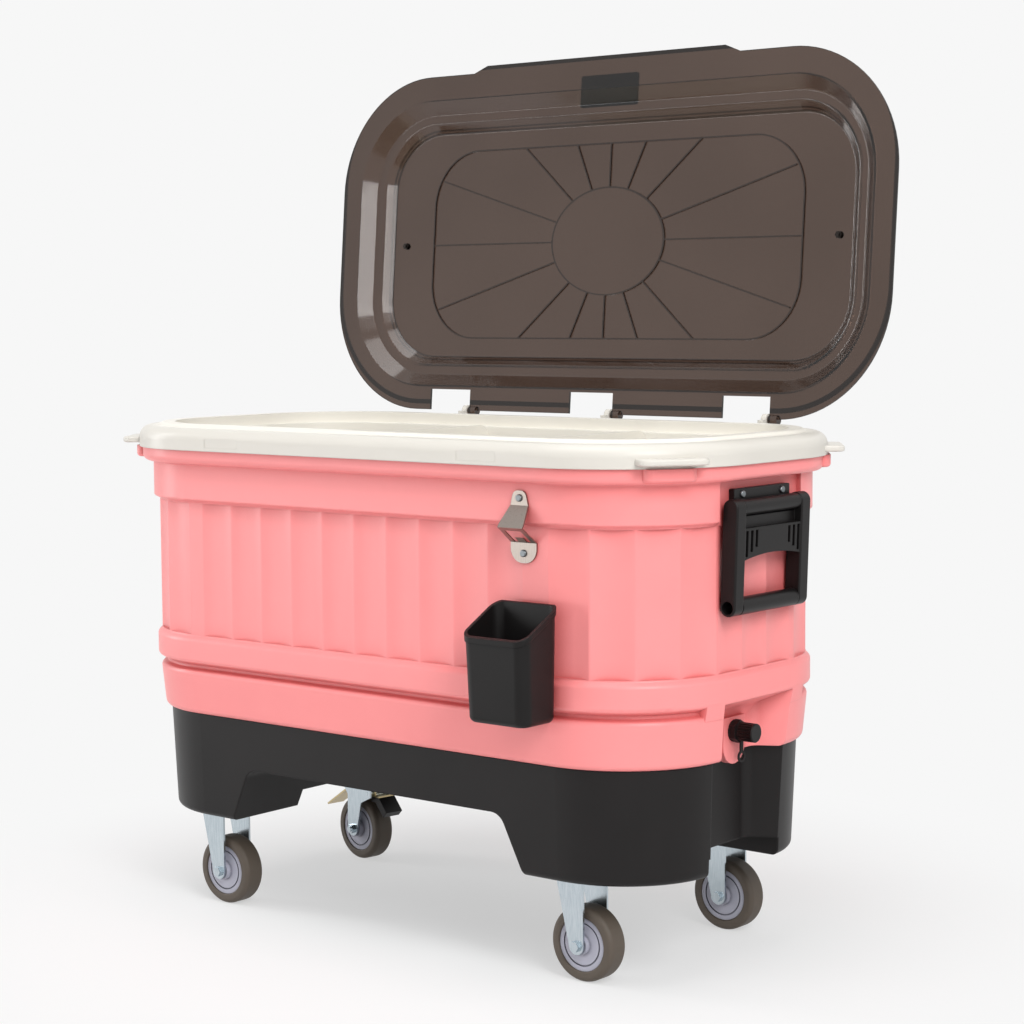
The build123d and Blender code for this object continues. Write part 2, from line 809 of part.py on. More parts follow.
def lid_panel():
    front = hinge_y - lid_width
    half = lid_lip_width / 2
    lip = make_face(Polyline((-half - lid_lip_slope, front + lid_lip_reach), (-half - lid_lip_slope, front),
                             (-half, front - lid_lip_reach), (half, front - lid_lip_reach),
                             (half + lid_lip_slope, front), (half + lid_lip_slope, front + lid_lip_reach),
                             close=True))
    solid = lid_shape() + lid_ribs() + Pos(0, 0, lid_base) * extrude(lip, lid_flange_thickness)
    for centre in notch_centres:
        edge = centre + notch_width / 2
        solid = solid - block((centre - notch_width / 2, edge),
                              (hinge_y - notch_depth, hinge_y + hinge_barrel_radius),
                              (rim_top, lid_base + lid_step_rise))
        barrel = post(hinge_barrel_radius, hinge_barrel_length, (edge, hinge_y, hinge_z), "X")
        pin = post(hinge_pin_radius, hinge_pin_length, (edge - hinge_pin_length, hinge_y, hinge_z), "X")
        solid = solid + [barrel, pin]
    for side in (-1, 1):
        solid = solid - post(lid_screw_radius + running_gap, 2 * lid_step_rise + lid_dome_rise,
                             (side * lid_screw_offset, hinge_y - lid_width / 2, lid_base))
    return solid


def lid_screws():
    top = lid_base + lid_flange_thickness + lid_step_rise + lid_dome_rise
    screws = []
    length = lid_wall + lid_nut_height + lid_screw_tail
    for side in (-1, 1):
        x, y = side * lid_screw_offset, hinge_y - lid_width / 2
        head = post(lid_screw_head_radius, lid_screw_head_height, (x, y, top))
        head = fillet(head.edges().group_by(Axis.Z)[-1], lid_screw_head_height * screw_head_softness)
        screws.append(head + post(lid_screw_radius, length, (x, y, top - length)))
    return screws


def lid_nuts():
    underside = lid_base + lid_flange_thickness - lid_wall + lid_step_rise + lid_dome_rise
    nuts = []
    for side in (-1, 1):
        place = (side * lid_screw_offset, hinge_y - lid_width / 2, underside - lid_nut_height)
        nut = hex_bar(lid_nut_radius, lid_nut_height, place)
        nuts.append(nut - post(lid_screw_radius + running_gap, lid_nut_height, place))
    return nuts


def lid_front_plate():
    """Grip plate that rests on the lid's shelf and reaches forward over its flange."""
    front = hinge_y - lid_width + lid_plate_setback
    top = lid_base + lid_flange_thickness + lid_step_rise
    plate = block((-lid_plate_length / 2, lid_plate_length / 2), (front, front + lid_plate_width),
                  (top, top + lid_plate_thickness))
    return fillet(plate.edges().filter_by(Axis.Z), lid_plate_thickness)


def swung_open(shape):
    """Turn a closed lid piece back about the hinge line."""
    line = Pos(0, hinge_y, hinge_z)
    return line * Rot(-lid_open_angle, 0, 0) * line.inverse() * shape


# Base skirt

def base_block(wall):
    """Outside of the base, or its hollow when a wall is taken off each side."""
    foot = caster_height + wall
    solid = follow_rim([
        (base_foot_inset + wall, foot, base_foot_rounding),
        (base_top_inset + wall, base_top, 0),
    ])
    roof = caster_height + arch_height + wall
    slope = (arch_top_inset - arch_foot_inset) / arch_height
    wide = rim_length / 2 - arch_foot_inset + wall
    narrow = rim_length / 2 - arch_top_inset + wall
    spread = wide + slope * arch_height
    low = caster_height - arch_height
    arch = section([(-spread, low, 0), (spread, low, 0),
                    (narrow, roof, arch_rounding), (-narrow, roof, arch_rounding)])
    tunnel = extrude(Pos(0, rim_width / 2) * arch, rim_width)
    half = leg_spacing / 2 + wall
    gap = block((-rim_length / 2, rim_length / 2), (-half, half), (low, caster_height + end_arch_height + wall))
    solid = solid - tunnel - gap
    inner_end = rim_length / 2 - base_top_inset - end_recess_depth - wall
    scoop = end_scoop(inner_end, end_recess_width / 2 + wall, low, base_top)
    return solid - scoop - Rot(0, 0, 180) * scoop


def base_screw_places():
    x = rim_length / 2 - arch_top_inset - base_boss_arch_margin
    y = rim_width / 2 - base_boss_side_inset
    return [(row * x, side * y) for row in base_boss_rows for side in (-1, 1)]


def base_skirt():
    deck = caster_height + arch_height
    outside = base_block(0)
    solid = outside - base_block(base_wall)
    for x, y in base_screw_places():
        solid = solid + post(base_boss_radius, base_top - deck, (x, y, deck))
        solid = solid - post(base_screw_radius + running_gap, base_height, (x, y, deck))
    for name, (x, y) in caster_places.items():
        well = post(well_radius + base_wall, caster_recess + base_wall, (x, y, caster_height))
        solid = solid + (well & outside)
        solid = solid - post(well_radius, caster_recess, (x, y, caster_height))
        for hole_x, hole_y in caster_bolt_places(name):
            solid = solid - post(caster_bolt_radius + seat_gap, base_wall, (hole_x, hole_y, plate_top))
    return solid


def base_screws():
    deck = caster_height + arch_height
    screws = []
    for x, y in base_screw_places():
        head = post(base_screw_head_radius, base_screw_head_height, (x, y, deck - base_screw_head_height))
        shank = post(base_screw_radius, base_top + base_screw_bite - deck, (x, y, deck))
        screws.append(head + shank)
    return screws


# Drain

def drain_hole():
    """Cut for the drain tube through the end walls."""
    return post(drain_tube_radius + seat_gap, rim_length / 2, (drain_start, 0, drain_z), "X")


def drain_tube():
    """Tube from the tub's end wall, cut flush inside, to its free end."""
    length = drain_face + drain_tube_reach - drain_start
    tube = post(drain_tube_radius, length, (drain_start, 0, drain_z), "X")
    return tube - liner_room(0) - post(drain_bore_radius, length, (drain_start, 0, drain_z), "X")


def drain_gasket():
    ring = post(drain_gasket_radius, drain_gasket_thickness, (drain_face, 0, drain_z), "X")
    return ring - post(drain_tube_radius + seat_gap, drain_gasket_thickness, (drain_face, 0, drain_z), "X")


def drain_nut():
    place = (drain_nut_start, 0, drain_z)
    nut = hex_bar(drain_nut_radius, drain_nut_thickness, place, "X")
    return nut - post(drain_tube_radius + seat_gap, drain_nut_thickness, place, "X")


def drain_tether():
    """Strap with a ring round the tube and an eye at its lower end."""
    place = (drain_tether_start, 0, drain_z)
    outer = drain_tube_radius + seat_gap + tether_band
    eye_place = (drain_tether_start, 0, drain_z - outer - tether_length + tether_eye_radius)
    ring = post(outer, tether_thickness, place, "X")
    eye = post(tether_eye_radius, tether_thickness, eye_place, "X")
    strap = block((drain_tether_start, drain_tether_start + tether_thickness), (-tether_band, tether_band),
                  (eye_place[2], drain_z))
    solid = ring + eye + strap
    solid = solid - post(drain_tube_radius + seat_gap, tether_thickness, place, "X")
    return solid - post(tether_eye_radius - tether_band, tether_thickness, eye_place, "X")


def drain_cap():
    place = (drain_cap_start, 0, drain_z)
    cap = post(drain_cap_radius, drain_cap_length, place, "X")
    cap = fillet(cap.edges().group_by(Axis.X)[-1], drain_cap_rounding)
    bore_length = drain_cap_length - drain_cap_face
    cap = cap - post(drain_tube_radius + part_gap, bore_length, place, "X")
    for i in range(drain_cap_grooves):
        angle = radians(i * 360 / drain_cap_grooves)
        y = drain_cap_radius * cos(angle)
        z = drain_z + drain_cap_radius * sin(angle)
        cap = cap - post(drain_cap_groove_radius, bore_length, (drain_cap_start, y, z), "X")
    return cap


# Swing handles, drawn at the right end

def handle_arm(start):
    """Flat bar with round ends at the pivot and the grip, and soft edges."""
    side = block((handle_back, handle_back + handle_arm_depth), (start, start + handle_arm_width),
                 (handle_low, pivot_z))
    ends = [post(handle_arm_depth / 2, handle_arm_width, (pivot_x, start, z), "Y")
            for z in (handle_low, pivot_z)]
    arm = side + ends
    rims = arm.faces().filter_by(Axis.Y).edges()
    return fillet(rims, handle_softness)


def handle_web():
    """Slotted plate between the arms; a shelf and a panel close it up to the bracket's tube."""
    top = pivot_z - handle_web_drop
    low = top - handle_web_height
    face = handle_back + handle_arm_depth - handle_web_setback
    width = (-handle_inner - handle_arm_width / 2, handle_inner + handle_arm_width / 2)
    web = block((face - handle_web_thickness, face), width, (low, top))
    arch_radius = (handle_inner * handle_inner + handle_web_arch_rise ** 2) / (2 * handle_web_arch_rise)
    arch_z = low + handle_web_arch_rise - arch_radius
    web = web - post(arch_radius, handle_arm_depth, (handle_back, 0, arch_z), "X")
    slot_top = top - handle_web_border
    for i in range(handle_web_slot_count):
        outer = handle_inner - handle_web_slot_edge - i * handle_web_slot_pitch
        height = handle_web_slot_height - i * handle_web_slot_step
        for y in (-outer, outer - handle_web_slot_width):
            web = web - block((face - handle_web_slot_depth, face), (y, y + handle_web_slot_width),
                              (slot_top - height, slot_top))
    panel_top = pivot_z - bracket_tube_radius - handle_panel_gap
    panel = block((pivot_x - handle_back_panel, pivot_x), width, (top - handle_web_border, panel_top))
    shelf = block((pivot_x - handle_back_panel, face), width, (top - handle_web_border, top))
    return web + panel + shelf


def handle_frame():
    half = handle_width / 2
    solid = handle_web() + [handle_arm(start) for start in (-half, handle_inner)]
    solid = solid - post(grip_bore_radius, handle_width, (grip_x, -half, handle_low), "Y")
    bore = 2 * (handle_inner + handle_pin_bite)
    return solid - post(handle_pin_radius + running_gap, bore, (pivot_x, -bore / 2, pivot_z), "Y")


def handle_grip():
    """Tube between the two arms."""
    half = handle_inner - seat_gap
    tube = post(grip_radius, 2 * half, (grip_x, -half, handle_low), "Y")
    return tube - post(grip_bore_radius, 2 * half, (grip_x, -half, handle_low), "Y")


def hung(shape):
    """Lean a handle piece back against the wall below its pivot."""
    pivot = Pos(pivot_x, 0, pivot_z)
    return pivot * Rot(0, handle_lean, 0) * pivot.inverse() * shape


def bracket_screw_places():
    """Screws of the right bracket: place on its face, direction and thickness held."""
    face = bracket_wall + bracket_thickness
    height = pivot_z + bracket_screw_rise
    offsets = (-bracket_screw_spacing / 2, bracket_screw_spacing / 2)
    return [((face, y, height), Rot(0, 90, 0), bracket_thickness) for y in offsets]


def handle_bracket():
    """Plate on the shell with a neck to the tube that the handle turns on."""
    low = pivot_z + bracket_rise - bracket_height
    half = handle_inner - part_gap
    plate = block((bracket_wall, bracket_wall + bracket_thickness), (-half, half), (low, low + bracket_height))
    neck = block((bracket_wall, pivot_x), (-half, half),
                 (pivot_z - bracket_neck_height / 2, pivot_z + bracket_neck_height / 2))
    tube = post(bracket_tube_radius, 2 * half, (pivot_x, -half, pivot_z), "Y")
    solid = fillet(plate.edges().filter_by(Axis.X), bracket_rounding) + [neck, tube]
    solid = solid - post(handle_pin_radius + running_gap, 2 * half, (pivot_x, -half, pivot_z), "Y")
    for place, turn, grip in bracket_screw_places():
        solid = solid - screw_hole(place, turn, grip)
    return solid


def handle_pin():
    length = 2 * (handle_inner + handle_pin_bite - part_gap)
    return post(handle_pin_radius, length, (pivot_x, -length / 2, pivot_z), "Y")


# Bottle opener

def opener_path():
    """Side view of the opener's wall side, (y, z) from its top to its foot."""
    bend = opener_head - opener_upper_flat - opener_upper_run
    foot = bend - opener_lower_run
    return [
        (band_front, opener_head),
        (band_front, opener_head - opener_upper_flat),
        (band_front - opener_reach, bend),
        (flute_front, foot),
        (flute_front, foot - opener_lower_flat),
    ]


def opener_screw_places():
    path = opener_path()
    turn = Rot(90, 0, 0)
    upper = (opener_offset, band_front - opener_thickness, path[0][1] - opener_screw_inset)
    lower = (opener_offset, flute_front - opener_thickness, path[4][1] + opener_foot_screw_inset)
    return [(upper, turn, opener_thickness), (lower, turn, opener_thickness)]


def bottle_opener():
    path = opener_path()
    outer = [(y - opener_thickness, z) for y, z in path]
    ribbon = Plane.YZ * make_face(Polyline(*(path + outer[::-1]), close=True))
    bend, foot, low = path[2][1], path[3][1], path[4][1]
    neck, wide, tail = opener_neck_width / 2, opener_wide / 2, opener_foot_width / 2
    right = [(neck, opener_head), (wide, bend + opener_shoulder), (wide, bend - opener_shoulder),
             (tail, foot), (tail, low)]
    left = [(-x, z) for x, z in right[::-1]]
    outline = make_face(Polyline(*(right + left), close=True))
    outline = fillet(outline.vertices().group_by(Axis.Y)[-1], opener_rounding)
    outline = fillet(outline.vertices().group_by(Axis.Y)[0], opener_foot_rounding)
    window_low = bend - opener_window_drop - opener_window_height
    window = Rectangle(opener_window_width, opener_window_height)
    window = Pos(0, window_low + opener_window_height / 2) * window
    tooth = Rectangle(opener_tooth_width, opener_tooth_height)
    tooth = Pos(0, window_low + opener_tooth_height / 2) * tooth
    outline = outline - (window - tooth)
    front = extrude(Pos(0, flute_front + opener_thickness) * (Plane.XZ * outline), rim_corner_radius)
    strip = Pos(-opener_wide) * extrude(ribbon, 2 * opener_wide)
    solid = Pos(opener_offset) * (strip & front)
    for place, turn, grip in opener_screw_places():
        solid = solid - screw_hole(place, turn, grip)
    return solid


def fitting_screw_places():
    """All pan head screws on the shell."""
    right = bracket_screw_places()
    left = [((-x, -y, z), Rot(0, -90, 0), grip) for (x, y, z), _, grip in right]
    return right + left + opener_screw_places()


# Cap catcher bin and its hanger

def hanger_screw_places():
    """Sunk screws of the hanger: place on its face, direction and thickness held."""
    height = hanger_foot + hanger_height - hanger_screw_drop
    face = flute_front - hanger_thickness
    offsets = (-hanger_screw_spacing / 2, hanger_screw_spacing / 2)
    return [((bin_offset + x, face, height), Rot(90, 0, 0), hanger_thickness) for x in offsets]


def sunk_head(place, turn, gap):
    """Cone of a sunk screw head, flush with the place."""
    cone = Cone(fitting_screw_radius + gap, hanger_screw_head_radius + gap, hanger_screw_sink,
                align=(Align.CENTER, Align.CENTER, Align.MAX))
    return Pos(*place) * turn * cone


def catcher_hanger():
    """Plate on the shell with a hook for the bin's pocket."""
    face = flute_front - hanger_thickness
    x = (bin_offset - hanger_width / 2, bin_offset + hanger_width / 2)
    plate = block(x, (face, flute_front), (hanger_foot, hanger_foot + hanger_height))
    sill = block(x, (tongue_front, flute_front), (hanger_foot, hanger_foot + hanger_thickness))
    tongue = block(x, (tongue_front, tongue_front + hanger_thickness),
                   (hanger_foot, hanger_foot + hanger_tongue_height))
    solid = plate + sill + tongue
    for place, turn, grip in hanger_screw_places():
        solid = solid - screw_hole(place, turn, grip) - sunk_head(place, turn, running_gap)
    return solid


def catcher_hanger_screws():
    screws = []
    for place, turn, grip in hanger_screw_places():
        length = grip + fitting_screw_bite
        shank = Pos(*place) * turn * post(fitting_screw_radius, length, (0, 0, -length))
        screws.append(shank + sunk_head(place, turn, 0))
    return screws


def bin_shape(inset):
    """Drafted box of the bin, shrunk by an inset on its sides and foot."""
    rounding = bin_rounding - inset
    top = Pos(bin_offset, bin_back - bin_depth / 2, bin_foot + bin_back_height) * RectangleRounded(
        bin_width - 2 * inset, bin_depth - 2 * inset, rounding)
    foot = Pos(bin_offset, bin_back - bin_foot_depth / 2, bin_foot + inset) * RectangleRounded(
        bin_foot_width - 2 * inset, bin_foot_depth - 2 * inset, rounding)
    return loft([foot, top])


def bin_top(drop):
    """Everything above the bin's slanted edge, or above a line that far below it."""
    back = bin_foot + bin_back_height - drop
    front = bin_foot + bin_front_height - drop
    rise = bin_back_height - bin_front_height
    wedge = make_face(Polyline((bin_back + bin_depth, back + rise), (bin_back - 2 * bin_depth, front - rise),
                               (bin_back - 2 * bin_depth, back + bin_back_height),
                               (bin_back + bin_depth, back + bin_back_height), close=True))
    return Pos(bin_offset - bin_width) * extrude(Plane.YZ * wedge, 2 * bin_width)


def catch_bin():
    lip = (bin_shape(-bin_lip) & bin_top(bin_lip_height)) - block(
        (bin_offset - bin_width, bin_offset + bin_width), (bin_back, flute_front), (bin_foot, shell_top))
    outside = bin_shape(0)
    outside = fillet(outside.edges().group_by(Axis.Z)[0], bin_foot_rounding)
    solid = outside + lip - bin_shape(bin_wall) - bin_top(0)
    half = hanger_width / 2 + pocket_gap
    back = flute_front - hanger_thickness - pocket_gap
    panel_front = back - pocket_panel
    low = hanger_foot + hanger_thickness + pocket_gap
    high = low + pocket_height
    x = (bin_offset - half - pocket_side, bin_offset + half + pocket_side)
    panel = block(x, (panel_front, back), (low, high))
    sides = [block((edge, edge + pocket_side), (bin_back - bin_wall / 2, back), (low, high))
             for edge in (x[0], x[1] - pocket_side)]
    roof = block(x, (bin_back - bin_wall / 2, back), (high - pocket_roof, high))
    return solid + panel + sides + roof


# Casters, drawn with the kingpin at the origin and the wheel trailing to +X

def placed(name, shape):
    """Turn a caster piece and put it under its leg."""
    x, y = caster_places[name]
    return Pos(x, y) * Rot(0, 0, caster_turns[name]) * shape


def caster_bolt_places(name):
    x, y = caster_places[name]
    reach_x = caster_hole_spacing_x / 2
    reach_y = caster_hole_spacing_y / 2
    return [(x + sx * reach_x, y + sy * reach_y) for sx in (-1, 1) for sy in (-1, 1)]


def caster_plate(name):
    x, y = caster_places[name]
    low = plate_top - caster_plate_thickness
    outline = RectangleRounded(caster_plate_length, caster_plate_width, caster_plate_rounding)
    solid = Pos(x, y, low) * extrude(outline, caster_plate_thickness)
    solid = solid + post(race_radius, race_height, (x, y, low - race_height))
    solid = solid - post(kingpin_radius + seat_gap, plate_top, (x, y, 0))
    for hole_x, hole_y in caster_bolt_places(name):
        solid = solid - post(caster_bolt_radius + seat_gap, plate_top, (hole_x, hole_y, 0))
    return solid


def caster_bolts():
    bolts = []
    low = plate_top - caster_plate_thickness
    length = caster_plate_thickness + base_wall + caster_nut_height + caster_bolt_tail
    for name in caster_places:
        for x, y in caster_bolt_places(name):
            head_low = low - caster_bolt_head_height
            head = hex_bar(caster_bolt_head_radius, caster_bolt_head_height, (x, y, head_low))
            bolts.append(head + post(caster_bolt_radius, length, (x, y, low)))
    return bolts


def caster_nuts():
    nuts = []
    for name in caster_places:
        for x, y in caster_bolt_places(name):
            place = (x, y, plate_top + base_wall)
            nut = hex_bar(caster_bolt_head_radius, caster_nut_height, place)
            nuts.append(nut - post(caster_bolt_radius + running_gap, caster_nut_height, place))
    return nuts


def kingpins():
    pins = []
    head_top = fork_top - fork_plate - part_gap
    for x, y in caster_places.values():
        head = post(kingpin_head_radius, kingpin_head_height, (x, y, head_top - kingpin_head_height))
        pins.append(head + post(kingpin_radius, plate_top - seat_gap - head_top, (x, y, head_top)))
    return pins


def fork_half_width():
    """From the wheel's middle to the inside of a fork plate."""
    return tyre_width / 2 + fork_side_gap


def caster_fork(braked):
    """Fork with sides that narrow to the axle; the braked one has a heel for the pedal's pin and a lug."""
    inside = fork_half_width()
    outside = inside + fork_plate
    half = fork_panel_width / 2
    front = caster_trail + half
    side = make_face(Polyline((-fork_crown_reach, fork_top), (front, fork_top), (front, wheel_radius),
                              (caster_trail - half, wheel_radius), close=True))
    side = side + Pos(caster_trail, wheel_radius) * Circle(half)
    reach = fork_crown_reach
    if braked:
        low = fork_top - brake_fork_low
        heel = [(-brake_fork_reach, fork_top), (caster_trail, fork_top),
                (caster_trail, low - brake_fork_slope), (-brake_fork_reach, low)]
        high = caster_height - brake_lug_gap
        lug = [(caster_trail, high), (front + brake_lug_reach, high),
               (front + brake_lug_reach, high - brake_lug_height),
               (front, high - brake_lug_height - brake_lug_slope),
               (caster_trail, high - brake_lug_height - brake_lug_slope)]
        side = side + [make_face(Polyline(*corners, close=True)) for corners in (heel, lug)]
        reach = brake_fork_reach
    crown = block((-reach, front), (-outside, outside), (fork_top - fork_plate, fork_top))
    crown = crown + post(fork_crown_radius, fork_plate, (0, 0, fork_top - fork_plate))
    plates = [Pos(0, start + fork_plate) * extrude(Plane.XZ * side, fork_plate) for start in (-outside, inside)]
    solid = crown + plates
    if braked:
        solid = solid - brake_pin(running_gap)
    solid = solid - post(kingpin_radius + running_gap, fork_top, (0, 0, 0))
    return solid - post(axle_radius + running_gap, 2 * outside, (caster_trail, -outside, wheel_radius), "Y")


def caster_axle():
    """Hex bolt through the fork and its nut, as two solids."""
    outside = fork_half_width() + fork_plate
    head_place = (caster_trail, -outside - axle_head_height, wheel_radius)
    head = hex_bar(axle_head_radius, axle_head_height, head_place, "Y")
    length = 2 * outside + axle_head_height + axle_tail
    bolt = head + post(axle_radius, length, (caster_trail, -outside, wheel_radius), "Y")
    place = (caster_trail, outside, wheel_radius)
    nut = hex_bar(axle_head_radius, axle_head_height, place, "Y")
    return [bolt, nut - post(axle_radius + running_gap, axle_head_height, place, "Y")]


def wheel_ring(corners):
    """Body of revolution about the axle through (radius, side, rounding) corners."""
    face = make_face(Polyline(*[(radius, side) for radius, side, _ in corners], close=True))
    for radius, side, rounding in corners:
        if rounding > 0:
            corner = face.vertices().sort_by_distance((radius, side, 0))[0]
            face = fillet(corner, rounding)
    return Pos(caster_trail, 0, wheel_radius) * revolve(face, Axis.Y, 360)


def caster_tyre():
    half = tyre_width / 2
    return wheel_ring([(hub_radius + seat_gap, -half, tyre_seat_rounding), (wheel_radius, -half, tyre_rounding),
                       (wheel_radius, half, tyre_rounding), (hub_radius + seat_gap, half, tyre_seat_rounding)])


def caster_hub():
    half = hub_width / 2
    core = hub_core_width / 2
    inner = hub_groove_radius
    outer = hub_groove_radius + hub_groove_width
    deep = half - hub_groove_depth
    right = [(bush_radius + seat_gap, core, 0), (hub_core_radius, core, 0), (hub_core_radius, half, 0),
             (inner, half, 0), (inner, deep, 0), (outer, deep, 0), (outer, half, 0), (hub_radius, half, 0)]
    left = [(radius, -side, 0) for radius, side, _ in right[::-1]]
    return wheel_ring(right + left)


def caster_bush():
    half = fork_half_width() - bush_end_gap
    return wheel_ring([(axle_radius + running_gap, -half, 0), (bush_radius, -half, 0),
                       (bush_radius, half, 0), (axle_radius + running_gap, half, 0)])


# Brake of the rear left caster, drawn in the fork's place

def brake_pin(grow):
    """Pin across the fork, or the cut for it when grown."""
    outside = fork_half_width() + fork_plate + seat_gap
    return post(brake_pin_radius + grow, 2 * outside, (-brake_pin_setback, -outside, brake_pin_z), "Y")


def brake_pedal():
    half = brake_width / 2
    level = fork_top - brake_arm_drop
    arm = block((-brake_pin_setback - brake_heel, brake_arm_reach), (-half, half),
                (level, level + brake_thickness))
    flap = Pos(brake_arm_reach, 0, level) * Rot(0, brake_flap_angle, 0) * block(
        (-brake_thickness, brake_flap_length), (-half, half), (0, brake_thickness))
    solid = arm + flap
    for start in (-half, half - brake_ear_thickness):
        ear = block((-brake_pin_setback - brake_ear_length / 2, -brake_pin_setback + brake_ear_length / 2),
                    (start, start + brake_ear_thickness), (level, brake_pin_z))
        eye = post(brake_ear_length / 2, brake_ear_thickness, (-brake_pin_setback, start, brake_pin_z), "Y")
        solid = solid + [ear, eye]
    hole = post(brake_pin_radius + running_gap, brake_width, (-brake_pin_setback, -half, brake_pin_z), "Y")
    return solid - hole


def brake_tab():
    """Toe tab under the heel of the pedal."""
    half = brake_width / 2
    level = fork_top - brake_arm_drop
    under = level - brake_tab_thickness
    back = -brake_pin_setback - brake_heel
    toe = back - brake_tab_length
    side = make_face(Polyline((back + brake_tab_length, level), (back, level), (toe, level - brake_tab_drop),
                              (toe + brake_tab_thickness, under - brake_tab_drop),
                              (back + brake_tab_thickness, under),
                              (back + brake_tab_length, under), close=True))
    return Pos(0, half) * extrude(Plane.XZ * side, brake_width)


# Every piece, by the name of its file

def turned(shape):
    """The left end's copy of a right end piece."""
    return Rot(0, 0, 180) * shape


pieces = {
    "outer_shell": outer_shell(),
    "foam_insulation": foam_insulation(),
    "liner_tub": liner_tub(),
    "divider_left": divider(divider_places[0]),
    "divider_right": divider(divider_places[1]),
    "lid_panel": swung_open(lid_panel()),
    "lid_front_plate": swung_open(lid_front_plate()),
    "lid_screws": swung_open(Compound(lid_screws())),
    "lid_nuts": swung_open(Compound(lid_nuts())),
    "base_skirt": base_skirt(),
    "base_screws": Compound(base_screws()),
    "drain_tube": drain_tube(),
    "drain_gasket": drain_gasket(),
    "drain_nut": drain_nut(),
    "drain_tether": drain_tether(),
    "drain_cap": drain_cap(),
    "handle_frame_right": hung(handle_frame()),
    "handle_frame_left": turned(hung(handle_frame())),
    "handle_grip_right": hung(handle_grip()),
    "handle_grip_left": turned(hung(handle_grip())),
    "handle_bracket_right": handle_bracket(),
    "handle_bracket_left": turned(handle_bracket()),
    "handle_pins": Compound([handle_pin(), turned(handle_pin())]),
    "bottle_opener": bottle_opener(),
    "fitting_screws": Compound([pan_screw(*screw) for screw in fitting_screw_places()]),
    "catcher_hanger": catcher_hanger(),
    "catcher_hanger_screws": Compound(catcher_hanger_screws()),
    "catch_bin": catch_bin(),
    "caster_bolts": Compound(caster_bolts()),
    "caster_nuts": Compound(caster_nuts()),
    "kingpins": Compound(kingpins()),
}
for name in caster_places:
    pieces["caster_plate_" + name] = caster_plate(name)
    pieces["fork_" + name] = placed(name, caster_fork(name == braked_caster))
    pieces["axle_" + name] = placed(name, Compound(caster_axle()))
    pieces["hub_" + name] = placed(name, caster_hub())
    pieces["tyre_" + name] = placed(name, caster_tyre())
    pieces["bush_" + name] = placed(name, caster_bush())
pieces["brake_pin"] = placed(braked_caster, brake_pin(0))
pieces["brake_pedal"] = placed(braked_caster, brake_pedal())
pieces["brake_tab"] = placed(braked_caster, brake_tab())

os.makedirs("parts", exist_ok=True)
for name, shape in pieces.items():
    export_step(shape, "parts/" + name + ".step")
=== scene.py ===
"""Looks of a party bar cooler: coral tub, white liner, smoked lid, black base and zinc casters.

Metres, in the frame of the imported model: X along the cooler, Y to its back and Z up from the floor.
"""
import bpy
import json
from math import cos, radians, sin
from mathutils import Matrix, Vector

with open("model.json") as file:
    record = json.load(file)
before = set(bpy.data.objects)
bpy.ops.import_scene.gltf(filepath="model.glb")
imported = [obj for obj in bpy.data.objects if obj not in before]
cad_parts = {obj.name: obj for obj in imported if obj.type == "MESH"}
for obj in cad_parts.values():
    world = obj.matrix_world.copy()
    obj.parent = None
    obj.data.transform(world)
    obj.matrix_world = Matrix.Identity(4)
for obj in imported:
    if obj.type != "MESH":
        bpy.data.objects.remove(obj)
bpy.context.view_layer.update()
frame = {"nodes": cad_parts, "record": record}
nodes = frame["nodes"]

MM = 0.001

# The photograph's camera: where it stands, where it looks and its lens
camera_place = Vector((2.0628, -2.4364, 0.8389))
camera_turn = 39.3
camera_dip = 5.1
camera_roll = -0.4
image_size = 1024
focal_pixels = 2358.5
lens_centre = (508.1, 513.0)
sensor_width = 36.0

# Studio: a pale floor whose own glow grows from floor_glow near the cooler to all of the background
# further off, an even light all round, and soft lamps. The strip makes the upright streaks on the lid
background = "#f7f7f7"
floor_colour = "#ededed"
floor_size = 14.0
floor_clear = 0.4
floor_far = 0.97
floor_glow = 0.56
world_strength = 0.40
lamps = {
    "right": {"place": (3.2, -1.6, 2.9), "size": (1.2, 2.2), "power": 101.0},
    "left": {"place": (-3.3, -1.2, 1.3), "size": (0.6, 2.2), "power": 35.0},
    "low": {"place": (-2.3, -2.7, 0.3), "size": (1.8, 0.45), "power": 11.0},
    "strip": {"place": (2.8, -2.3, 1.75), "size": (0.25, 1.9), "power": 12.0},
    "top": {"place": (0.0, -0.9, 4.2), "size": (3.0, 2.4), "power": 77.0},
}
lamp_target = Vector((0, 0, 0.55))

# The open lid: how far it leans back, a point on the underside of its panel, and the height of the ribs
# there. The dark band on a rib has its middle and half width as shares of that height
lid_lean = 4.8
lid_panel_place = Vector((0, 0.31552, 0.92654))
lid_rib_mm = 2.2
lid_rib_middle = 0.75
lid_rib_half = 0.5
# The oval boss in the lid's middle, and the share of it that has no dark lines
lid_boss_centre = (0.0, 0.3155, 0.9265)
lid_boss_half = (0.102, 1.0, 0.0787)
lid_boss_clear = 0.97
# The lid's outline, a scale that leaves its thickness out, and the dark line along the edge
lid_middle = (0.0, 0.2839, 0.9392)
lid_corner_centre = (0.323, 0.0, 0.081)
lid_corner_radius = 0.171
lid_flatten = (1, 1000, 1)
lid_line_inset = 0.002
lid_line_half = 0.0035
# The lid's colours: thinner and thicker places, seen aslant, and in the dark lines
smoke_thin = "#5d4a40"
smoke_thick = "#4d3b31"
smoke_aslant = "#2b1f19"
smoke_line = "#1d1511"
lid_roughness = 0.12
lid_gleam = 0.3

# The rim's outline, the painted shade on its outside, and how far inside the outline the change starts and
# ends
rim_corner_centre = (0.312, 0.070, 0.0)
rim_corner_radius = 0.180
rim_painted_shade = "#d2cec6"
rim_shade_start = 0.030
rim_shade_end = 0.006
